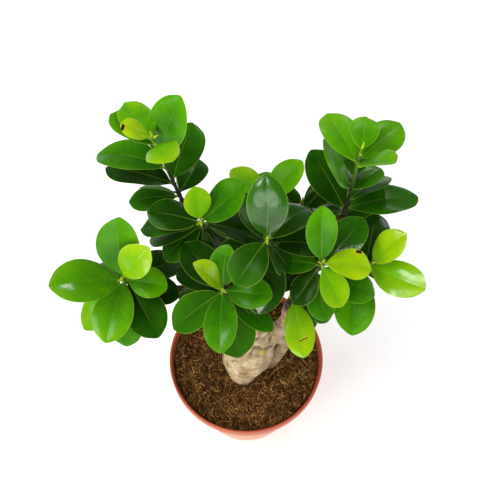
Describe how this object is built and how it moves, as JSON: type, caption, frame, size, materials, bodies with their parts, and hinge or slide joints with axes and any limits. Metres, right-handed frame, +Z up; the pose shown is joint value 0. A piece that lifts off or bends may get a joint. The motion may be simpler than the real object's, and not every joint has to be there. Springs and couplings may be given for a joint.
{
  "type": "potted ginseng ficus",
  "caption": "Small ficus tree with swollen roots and glossy oval leaves on grafted stems, growing in soil in a round plastic nursery pot.",
  "frame": {"origin": "centre of the pot's flat base, on the surface that it stands on", "axes": "+Z up along the pot's axis, -Y towards the plant's front, +X to its right as seen from the front"},
  "size_m": [0.2338, 0.1594, 0.3275],
  "materials": {
    "pot_plastic": "terracotta-coloured thin plastic, satin",
    "potting_soil": "dark fibrous potting soil, rough",
    "bark": "pale tan wrinkled bark, matt",
    "leaf": "waxy green leaves, glossy above and paler below"
  },
  "bodies": {
    "root": {"pot": "pot_plastic", "soil": "potting_soil", "trunk": "bark", "shoot_upper_left": "leaf", "shoot_upper_right": "leaf", "shoot_far_left": "leaf", "shoot_centre_left": "leaf", "shoot_centre": "leaf", "shoot_front": "leaf", "shoot_front_right": "leaf", "shoot_far_right": "leaf", "shoot_sprig": "leaf", "shoot_back": "leaf", "shoot_back_left": "leaf", "shoot_back_right": "leaf", "shoot_rear_right": "leaf"}
  },
  "joints": []
}
